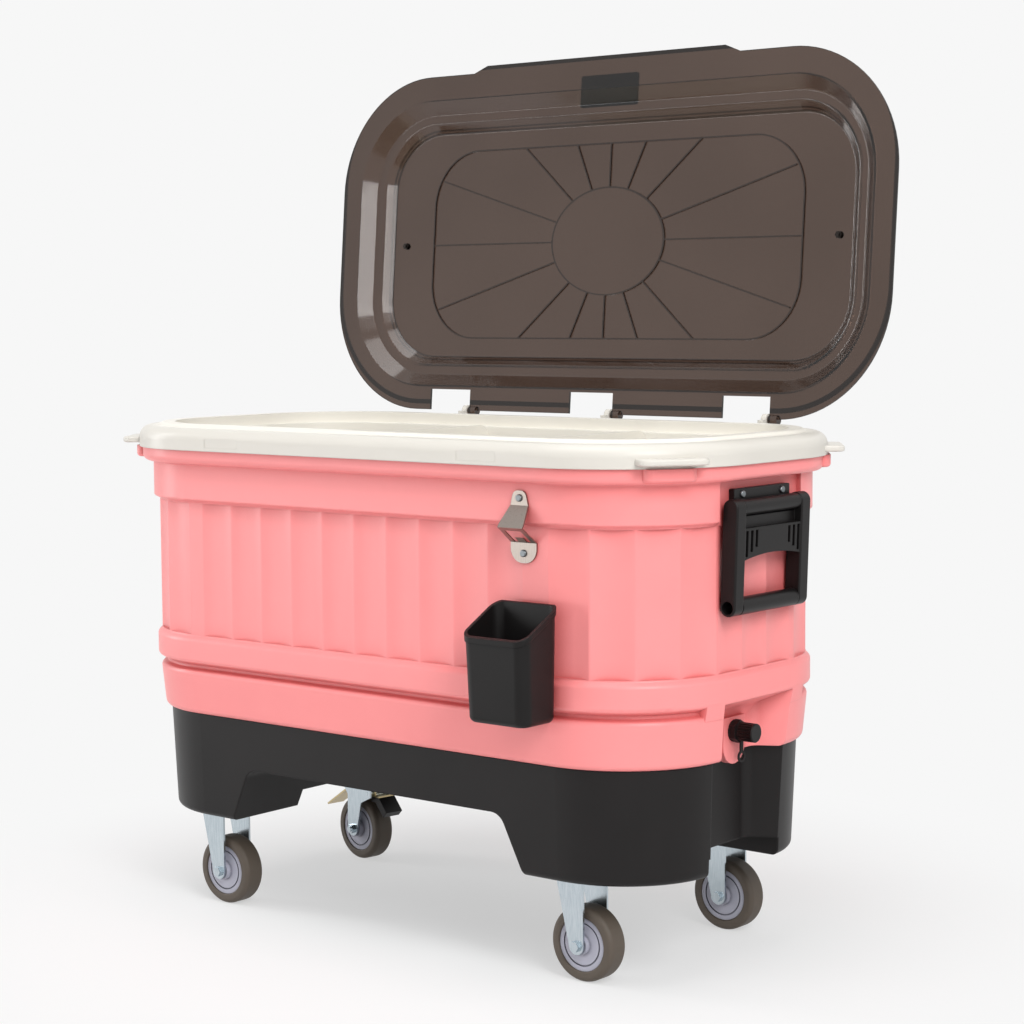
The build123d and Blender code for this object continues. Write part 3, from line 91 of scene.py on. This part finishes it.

# Surfaces: the clouds in moulded and in smoked plastic, the detail of the noises, how far gloss changes
# over a surface, how strongly a grain stands out, and how finely edges and the painted shade in grooves are
# sampled
plastic_ior = 1.49
cloud_mm = 60.0
flow_mm = 180.0
cloud_detail = 3.0
grain_detail = 2.0
streak_detail = 3.0
flow_detail = 1.0
plastic_gloss_change = 0.05
metal_gloss_change = 0.08
grain_strength = 0.5
edge_samples = 4
groove_shade_samples = 6


# Nodes and colours

def linear(hex_colour):
    """sRGB hex to a linear colour with alpha."""
    parts = [int(hex_colour[i:i + 2], 16) / 255 for i in (1, 3, 5)]
    return tuple(c / 12.92 if c <= 0.04045 else ((c + 0.055) / 1.055) ** 2.4 for c in parts) + (1.0,)


def node(tree, kind, inputs=None, **settings):
    """Add a node with its settings; inputs holds values, or the outputs that feed them."""
    made = tree.nodes.new(kind)
    for name, value in settings.items():
        setattr(made, name, value)
    for name, value in (inputs or {}).items():
        if isinstance(value, bpy.types.NodeSocket):
            tree.links.new(value, made.inputs[name])
        else:
            made.inputs[name].default_value = value
    return made


def surface(name):
    """A new material with its shader and Object coordinates."""
    material = bpy.data.materials.new(name)
    material.use_nodes = True
    tree = material.node_tree
    shader = tree.nodes["Principled BSDF"]
    place = node(tree, "ShaderNodeTexCoord").outputs["Object"]
    return material, tree, shader, place


def per_metre(size_mm):
    """Noise scale whose features are about that many millimetres across."""
    return 1.0 / (size_mm * MM)


def moulded(name, colour, shade, roughness, grain_mm, grain_depth_mm, edge_mm=1.0, gleam=0.5):
    """Moulded plastic: cloudy colour, uneven gloss, a fine grain and edges rounded to the eye.

    The grains are about a pixel wide at the photograph's distance, where they only soften the gloss.
    """
    material, tree, shader, place = surface(name)
    cloud = node(tree, "ShaderNodeTexNoise",
                 {"Vector": place, "Scale": per_metre(cloud_mm), "Detail": cloud_detail}).outputs["Fac"]
    tint = node(tree, "ShaderNodeMix", {"Factor": cloud, "A": linear(shade), "B": linear(colour)},
                data_type="RGBA")
    gloss = node(tree, "ShaderNodeMapRange", {"Value": cloud, "To Min": roughness - plastic_gloss_change,
                                              "To Max": roughness + plastic_gloss_change})
    grain = node(tree, "ShaderNodeTexNoise",
                 {"Vector": place, "Scale": per_metre(grain_mm), "Detail": grain_detail}).outputs["Fac"]
    edge = node(tree, "ShaderNodeBevel", {"Radius": edge_mm * MM}, samples=edge_samples)
    bump = node(tree, "ShaderNodeBump", {"Height": grain, "Strength": grain_strength,
                                         "Distance": grain_depth_mm * MM, "Normal": edge.outputs["Normal"]})
    tree.links.new(tint.outputs["Result"], shader.inputs["Base Color"])
    tree.links.new(gloss.outputs["Result"], shader.inputs["Roughness"])
    tree.links.new(bump.outputs["Normal"], shader.inputs["Normal"])
    shader.inputs["IOR"].default_value = plastic_ior
    shader.inputs["Specular IOR Level"].default_value = gleam
    return material


def paint_groove_shade(material, colour, groove_mm):
    """Paint shade into a material's colour: a deeper colour in grooves and corners up to that size, found by
    ambient occlusion.
    """
    tree = material.node_tree
    base = tree.nodes["Principled BSDF"].inputs["Base Color"]
    plain = base.links[0].from_socket
    # Painted shade: the colour turns deeper where ambient occlusion finds grooves and corners
    clear = node(tree, "ShaderNodeAmbientOcclusion", {"Distance": groove_mm * MM}, samples=groove_shade_samples)
    tint = node(tree, "ShaderNodeMix", {"Factor": clear.outputs["AO"], "A": linear(colour), "B": plain},
                data_type="RGBA")
    tree.links.new(tint.outputs["Result"], base)


def corner_reach(tree, plan, centre):
    """Distance from the middles of the rounded corners of an outline that lies evenly about zero."""
    side = node(tree, "ShaderNodeVectorMath", {0: plan}, operation="ABSOLUTE")
    beyond = node(tree, "ShaderNodeVectorMath", {0: side.outputs["Vector"], 1: centre}, operation="SUBTRACT")
    corner = node(tree, "ShaderNodeVectorMath", {0: beyond.outputs["Vector"], 1: (0, 0, 0)},
                  operation="MAXIMUM")
    reach = node(tree, "ShaderNodeVectorMath", {0: corner.outputs["Vector"]}, operation="LENGTH")
    return reach.outputs["Value"]


def liner_plastic():
    """Injection moulded liner: warm white, smoother than the tub, with painted shade on the rim's outside."""
    material = moulded("warm_white_polyethylene", "#eae6dd", "#e5e1d7", roughness=0.36, grain_mm=1.2,
                       grain_depth_mm=0.03, edge_mm=2.0, gleam=0.4)
    tree = material.node_tree
    colour = tree.nodes["Principled BSDF"].inputs["Base Color"]
    white = colour.links[0].from_socket
    place = node(tree, "ShaderNodeTexCoord").outputs["Object"]
    plan = node(tree, "ShaderNodeVectorMath", {0: place, 1: (1, 1, 0)}, operation="MULTIPLY")
    reach = corner_reach(tree, plan.outputs["Vector"], rim_corner_centre)
    outer = node(tree, "ShaderNodeMapRange", {"Value": reach, "From Min": rim_corner_radius - rim_shade_start,
                                              "From Max": rim_corner_radius - rim_shade_end},
                 interpolation_type="SMOOTHSTEP")
    # Painted shade: the rim's outside is mixed towards grey, while the inside stays the liner's white
    tint = node(tree, "ShaderNodeMix",
                {"Factor": outer.outputs["Result"], "A": white, "B": linear(rim_painted_shade)}, data_type="RGBA")
    tree.links.new(tint.outputs["Result"], colour)
    return material


def plated(name, colour, shade, roughness, streak_mm):
    """Metal with fine streaks; streak_mm gives their sizes along X, Y and Z."""
    material, tree, shader, place = surface(name)
    scale = tuple(per_metre(size) for size in streak_mm)
    stretched = node(tree, "ShaderNodeMapping", {"Vector": place, "Scale": scale})
    lines = node(tree, "ShaderNodeTexNoise", {"Vector": stretched.outputs["Vector"], "Scale": 1.0,
                                              "Detail": streak_detail}).outputs["Fac"]
    tint = node(tree, "ShaderNodeMix", {"Factor": lines, "A": linear(shade), "B": linear(colour)},
                data_type="RGBA")
    gloss = node(tree, "ShaderNodeMapRange", {"Value": lines, "To Min": roughness - metal_gloss_change,
                                              "To Max": roughness + metal_gloss_change})
    tree.links.new(tint.outputs["Result"], shader.inputs["Base Color"])
    tree.links.new(gloss.outputs["Result"], shader.inputs["Roughness"])
    shader.inputs["Metallic"].default_value = 1.0
    return material


def smoked_plastic():
    """Injection moulded smoked acrylic: clear brown-grey that dims what is behind it, with a wet gloss.

    It is darker where the sight line passes through it aslant, in the ribs of the underside and at its edge.
    """
    material, tree, shader, place = surface("smoked_acrylic")
    flow = node(tree, "ShaderNodeTexNoise",
                {"Vector": place, "Scale": per_metre(flow_mm), "Detail": flow_detail})
    tint = node(tree, "ShaderNodeMix",
                {"Factor": flow.outputs["Fac"], "A": linear(smoke_thick), "B": linear(smoke_thin)},
                data_type="RGBA")
    aslant = node(tree, "ShaderNodeLayerWeight", {"Blend": 0.5}).outputs["Facing"]
    deep = node(tree, "ShaderNodeMix",
                {"Factor": aslant, "A": tint.outputs["Result"], "B": linear(smoke_aslant)}, data_type="RGBA")
    # Ribs, by their height over the panel: their sides and tops, without the flat top of the boss
    lean = radians(lid_lean)
    across = Vector((0, cos(lean), -sin(lean)))
    rib = lid_rib_mm * MM
    rib_middle = across.dot(lid_panel_place) - rib * lid_rib_middle
    height = node(tree, "ShaderNodeVectorMath", {0: place, 1: across}, operation="DOT_PRODUCT")
    ribs = node(tree, "ShaderNodeMath", {0: height.outputs["Value"], 1: rib_middle, 2: rib * lid_rib_half},
                operation="COMPARE")
    spread = node(tree, "ShaderNodeMapping",
                  {"Vector": place, "Location": lid_boss_centre, "Scale": lid_boss_half},
                  vector_type="TEXTURE")
    boss_reach = node(tree, "ShaderNodeVectorMath", {0: spread.outputs["Vector"]}, operation="LENGTH")
    outside = node(tree, "ShaderNodeMath", {0: boss_reach.outputs["Value"], 1: lid_boss_clear},
                   operation="GREATER_THAN")
    lines = node(tree, "ShaderNodeMath", {0: ribs.outputs["Value"], 1: outside.outputs["Value"]},
                 operation="MULTIPLY")
    # Edge, by its distance from the corners of the lid's outline
    plan = node(tree, "ShaderNodeMapping",
                {"Vector": place, "Location": lid_middle, "Rotation": (-lean, 0, 0), "Scale": lid_flatten},
                vector_type="TEXTURE")
    edge_reach = corner_reach(tree, plan.outputs["Vector"], lid_corner_centre)
    edge = node(tree, "ShaderNodeMath",
                {0: edge_reach, 1: lid_corner_radius - lid_line_inset, 2: lid_line_half}, operation="COMPARE")
    lines = node(tree, "ShaderNodeMath", {0: lines.outputs["Value"], 1: edge.outputs["Value"]},
                 operation="MAXIMUM")
    dark = node(tree, "ShaderNodeMix",
                {"Factor": lines.outputs["Value"], "A": deep.outputs["Result"], "B": linear(smoke_line)},
                data_type="RGBA")
    tree.links.new(dark.outputs["Result"], shader.inputs["Base Color"])
    shader.inputs["Roughness"].default_value = lid_roughness
    shader.inputs["IOR"].default_value = plastic_ior
    shader.inputs["Specular IOR Level"].default_value = lid_gleam
    shader.inputs["Transmission Weight"].default_value = 1.0
    return material


# Rotomoulded polyethylene in coral: satin, with a slight cloud, a pebbled skin and painted darker red shade
# in its grooves
coral = moulded("coral_polyethylene", "#f89494", "#f48f8f", roughness=0.37, grain_mm=1.6,
                grain_depth_mm=0.05, edge_mm=2.0, gleam=0.42)
paint_groove_shade(coral, "#bf4c4a", groove_mm=25.0)
warm_white = liner_plastic()
# Rotomoulded base: near-black with a leathery grain that greys in the light
black_base = moulded("black_polyethylene", "#1a1717", "#141212", roughness=0.42, grain_mm=1.4,
                     grain_depth_mm=0.08, edge_mm=4.0, gleam=0.25)
# Moulded nylon of the handles, cap catcher and drain: black with a soft sheen
black_nylon = moulded("black_nylon", "#171515", "#131111", roughness=0.38, grain_mm=0.8,
                      grain_depth_mm=0.04, edge_mm=1.5, gleam=0.22)
# Moulded rubber of the seal and strap: dull black
black_rubber = moulded("black_rubber", "#191818", "#151414", roughness=0.7, grain_mm=0.8,
                       grain_depth_mm=0.04, edge_mm=0.8, gleam=0.3)
# Expanded foam: pale yellow and open
pale_foam = moulded("polyurethane_foam", "#e9dfb4", "#dccf9f", roughness=0.9, grain_mm=2.0,
                    grain_depth_mm=0.3)
# Moulded polypropylene of the wheel hubs: lilac grey with a satin face and painted dark shade in its grooves
lilac_hub = moulded("lilac_polypropylene", "#b1b1be", "#a9a9b6", roughness=0.4, grain_mm=1.0,
                    grain_depth_mm=0.02, edge_mm=0.6)
paint_groove_shade(lilac_hub, "#2e2e3c", groove_mm=4.0)
# Moulded thermoplastic rubber of the treads: brown-grey and dull, paler in places
tread = moulded("grey_brown_rubber", "#5a5046", "#4f463d", roughness=0.6, grain_mm=1.2,
                grain_depth_mm=0.06)
# Moulded natural nylon of the wheel bushes: waxy white
waxy_nylon = moulded("natural_nylon", "#dcd9cf", "#d2cfc4", roughness=0.4, grain_mm=1.0,
                     grain_depth_mm=0.02)
# Bright zinc plate: bluish silver with faint rolling streaks, drawn wide enough to show
zinc = plated("bright_zinc", "#ccd5da", "#a9b5bd", roughness=0.22, streak_mm=(1.5, 1.5, 14.0))
# Yellow zinc plate on the brake: pale brass
yellow_zinc = plated("yellow_zinc", "#c5b48c", "#a99a78", roughness=0.34, streak_mm=(14.0, 1.5, 1.5))
# Brushed stainless steel of the opener: fine upright lines, drawn coarser than real brushing and still faint
brushed = plated("brushed_stainless", "#aaa19a", "#776e67", roughness=0.3, streak_mm=(0.5, 0.5, 30.0))
# Dull zinc plate of the small screws: even grey
dull_zinc = plated("dull_zinc", "#8f9497", "#757a7d", roughness=0.42, streak_mm=(2.0, 2.0, 2.0))
# Blackened steel of the lid's screws: dark with a dull shine
black_steel = plated("blackened_steel", "#3a3634", "#2a2725", roughness=0.35, streak_mm=(1.0, 1.0, 1.0))
smoked = smoked_plastic()

finishes = {
    "shell_plastic": coral,
    "foam": pale_foam,
    "liner_plastic": warm_white,
    "smoked_plastic": smoked,
    "dark_plastic": black_nylon,
    "base_plastic": black_base,
    "dark_steel": black_steel,
    "zinc_steel": zinc,
    "yellow_zinc_steel": yellow_zinc,
    "stainless_steel": brushed,
    "seal_rubber": black_rubber,
    "hub_plastic": lilac_hub,
    "tread_rubber": tread,
    "bush_plastic": waxy_nylon,
}
for part in frame["record"]["subparts"]:
    mesh = nodes[part["node"]].data
    mesh.materials.clear()
    mesh.materials.append(finishes[part["material_slot"]])
nodes["fitting_screws"].data.materials[0] = dull_zinc


# Studio

def seen_directly(tree):
    """1 for what the camera, metal or clear plastic shows, and 0 for the light that falls on the cooler."""
    path = node(tree, "ShaderNodeLightPath").outputs
    seen = node(tree, "ShaderNodeMath", {0: path["Is Camera Ray"], 1: path["Is Glossy Ray"]},
                operation="MAXIMUM")
    seen = node(tree, "ShaderNodeMath", {0: seen.outputs["Value"], 1: path["Is Transmission Ray"]},
                operation="MAXIMUM")
    return seen.outputs["Value"]


def studio_floor():
    """Pale floor that takes the shadow near the cooler and becomes the background further off."""
    bpy.ops.mesh.primitive_plane_add(size=floor_size)
    plane = bpy.context.object
    plane.name = "studio_floor"
    material = bpy.data.materials.new("pale_floor")
    material.use_nodes = True
    tree = material.node_tree
    shader = tree.nodes["Principled BSDF"]
    shader.inputs["Base Color"].default_value = linear(floor_colour)
    shader.inputs["Roughness"].default_value = 1.0
    shader.inputs["Specular IOR Level"].default_value = 0.0
    place = node(tree, "ShaderNodeTexCoord").outputs["Object"]
    reach = node(tree, "ShaderNodeVectorMath", {0: place}, operation="LENGTH")
    away = node(tree, "ShaderNodeMapRange", {"Value": reach.outputs["Value"], "From Min": floor_clear,
                                             "From Max": floor_far, "To Min": floor_glow},
                interpolation_type="SMOOTHSTEP")
    share = node(tree, "ShaderNodeMath", {0: away.outputs["Result"], 1: seen_directly(tree)},
                 operation="MULTIPLY")
    glow = node(tree, "ShaderNodeEmission", {"Color": linear(background)})
    mixed = node(tree, "ShaderNodeMixShader", {0: share.outputs["Value"], 1: shader.outputs["BSDF"],
                                               2: glow.outputs["Emission"]})
    tree.links.new(mixed.outputs["Shader"], tree.nodes["Material Output"].inputs["Surface"])
    plane.data.materials.append(material)


def studio_world():
    """White background for the camera, metal and clear plastic, and an even light for all else."""
    world = bpy.data.worlds.new("studio")
    bpy.context.scene.world = world
    world.use_nodes = True
    tree = world.node_tree
    tree.nodes.clear()
    light = node(tree, "ShaderNodeBackground", {"Color": (1, 1, 1, 1), "Strength": world_strength})
    white = node(tree, "ShaderNodeBackground", {"Color": linear(background), "Strength": 1.0})
    mixed = node(tree, "ShaderNodeMixShader", {0: seen_directly(tree), 1: light.outputs["Background"],
                                               2: white.outputs["Background"]})
    node(tree, "ShaderNodeOutputWorld", {"Surface": mixed.outputs["Shader"]})


def studio_lamps():
    """Rectangular soft lamps, all turned to the cooler."""
    for name, lamp in lamps.items():
        light = bpy.data.lights.new(name, "AREA")
        light.shape = "RECTANGLE"
        light.size, light.size_y = lamp["size"]
        light.energy = lamp["power"]
        holder = bpy.data.objects.new(name, light)
        bpy.context.scene.collection.objects.link(holder)
        holder.location = lamp["place"]
        holder.rotation_euler = (lamp_target - holder.location).to_track_quat("-Z", "Y").to_euler()


def photo_camera():
    """Camera of the photograph, turned to the left, dipped and slightly rolled."""
    turn, dip, roll = radians(camera_turn), radians(camera_dip), radians(camera_roll)
    ahead = Vector((-sin(turn) * cos(dip), cos(turn) * cos(dip), -sin(dip)))
    level = Vector((cos(turn), sin(turn), 0))
    upright = level.cross(ahead)
    right = level * cos(roll) + upright * sin(roll)
    up = upright * cos(roll) - level * sin(roll)
    lens = bpy.data.cameras.new("photo_camera")
    lens.sensor_width = sensor_width
    lens.lens = focal_pixels * sensor_width / image_size
    lens.shift_x = 0.5 - lens_centre[0] / image_size
    lens.shift_y = lens_centre[1] / image_size - 0.5
    holder = bpy.data.objects.new("photo_camera", lens)
    bpy.context.scene.collection.objects.link(holder)
    facing = Matrix((right, up, -ahead)).transposed().to_4x4()
    holder.matrix_world = Matrix.Translation(camera_place) @ facing
    bpy.context.scene.camera = holder


studio_floor()
studio_world()
studio_lamps()
photo_camera()
bpy.context.scene.view_settings.view_transform = "Standard"
